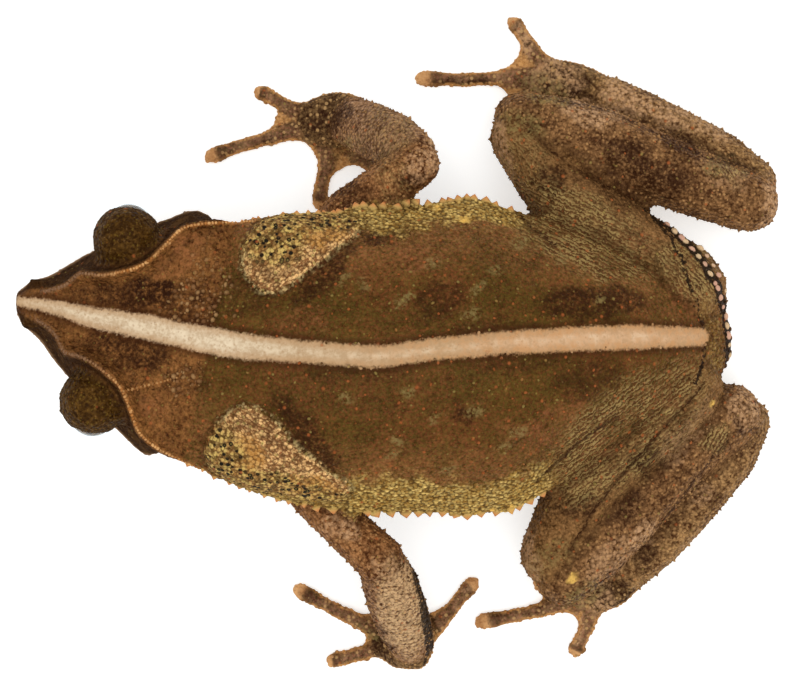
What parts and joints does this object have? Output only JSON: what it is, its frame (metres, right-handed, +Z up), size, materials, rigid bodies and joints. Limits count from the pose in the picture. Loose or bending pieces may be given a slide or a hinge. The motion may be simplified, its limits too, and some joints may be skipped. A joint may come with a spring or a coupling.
{
  "type": "crested forest toad",
  "caption": "Life-size still model of a crested forest toad sitting with folded legs, bony head crests and a row of pointed tubercles along each side.",
  "frame": {"origin": "centre of the underside of the bounding box, on the floor", "axes": "+Z up; the snout points to -X and the toad's right side is +Y"},
  "size_m": [0.064, 0.0556, 0.0206],
  "materials": {
    "skin": "warty dry skin of the head and back, brown with markings",
    "limb": "warty skin of the arms and legs, brown with darker bars",
    "digit": "thin skin of fingers and toes, tan with dark rings",
    "throat": "granular skin of the lower jaw and throat",
    "eye": "wet dark eye with a bronze iris"
  },
  "bodies": {
    "root": {"eye_left": "eye", "eye_right": "eye", "finger_1_left": "digit", "finger_1_right": "digit", "finger_2_left": "digit", "finger_2_right": "digit", "finger_3_left": "digit", "finger_3_right": "digit", "finger_4_left": "digit", "finger_4_right": "digit", "foot_left": "limb", "foot_right": "limb", "forearm_left": "limb", "forearm_right": "limb", "hand_left": "limb", "hand_right": "limb", "head": "skin", "lower_jaw": "throat", "rump": "skin", "shank_left": "limb", "shank_right": "limb", "tarsus_left": "limb", "tarsus_right": "limb", "thigh_left": "limb", "thigh_right": "limb", "toe_1_left": "digit", "toe_1_right": "digit", "toe_2_left": "digit", "toe_2_right": "digit", "toe_3_left": "digit", "toe_3_right": "digit", "toe_4_left": "digit", "toe_4_right": "digit", "toe_5_left": "digit", "toe_5_right": "digit", "torso": "skin", "upper_arm_left": "limb", "upper_arm_right": "limb"}
  },
  "joints": []
}
